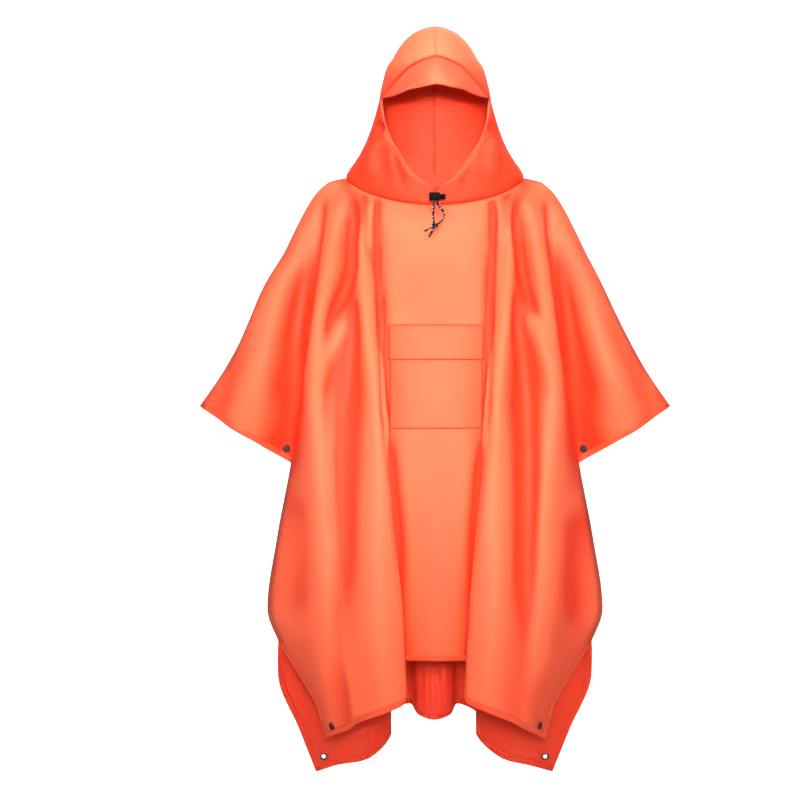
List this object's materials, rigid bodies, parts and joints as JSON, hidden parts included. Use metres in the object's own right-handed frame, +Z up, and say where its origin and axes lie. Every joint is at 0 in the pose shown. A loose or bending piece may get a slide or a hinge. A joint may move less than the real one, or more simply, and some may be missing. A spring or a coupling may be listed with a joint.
{
  "type": "rain poncho",
  "caption": "Hooded rain poncho worn by nobody, with a visor, chest pocket, open short sleeves, press studs, corner eyelets and a drawcord with its lock.",
  "frame": {"origin": "middle between the shoulders on the shoulder line, where the wearer's shoulders hold the poncho up", "axes": "+Z up, -Y the front of the poncho, +X the right side as seen from the front"},
  "size_m": [0.918, 0.384, 1.469],
  "materials": {
    "coated_cloth": "coated plain weave with a soft satin sheen",
    "visor_cloth": "the same coated cloth over a stiff insert",
    "eyelet_metal": "dark antique",
    "stud_plastic": "satin",
    "lock_plastic": "satin",
    "cord_weave": "braided, with pale flecks"
  },
  "bodies": {
    "root": {"front_panel": "coated_cloth", "back_panel": "coated_cloth", "hood_left": "coated_cloth", "hood_right": "coated_cloth", "pocket": "coated_cloth", "pocket_flap": "coated_cloth", "visor": "visor_cloth", "eyelet_front_left": "eyelet_metal", "eyelet_front_right": "eyelet_metal", "eyelet_back_left": "eyelet_metal", "eyelet_back_right": "eyelet_metal", "stud_front_left": "stud_plastic", "stud_front_right": "stud_plastic", "stud_back_left": "stud_plastic", "stud_back_right": "stud_plastic", "cord_lock": "lock_plastic", "cord_lock_button": "lock_plastic", "drawcord_left": "cord_weave", "drawcord_right": "cord_weave", "drawcord_tail_left": "cord_weave", "drawcord_tail_right": "cord_weave", "drawcord_knot": "cord_weave"}
  },
  "joints": []
}
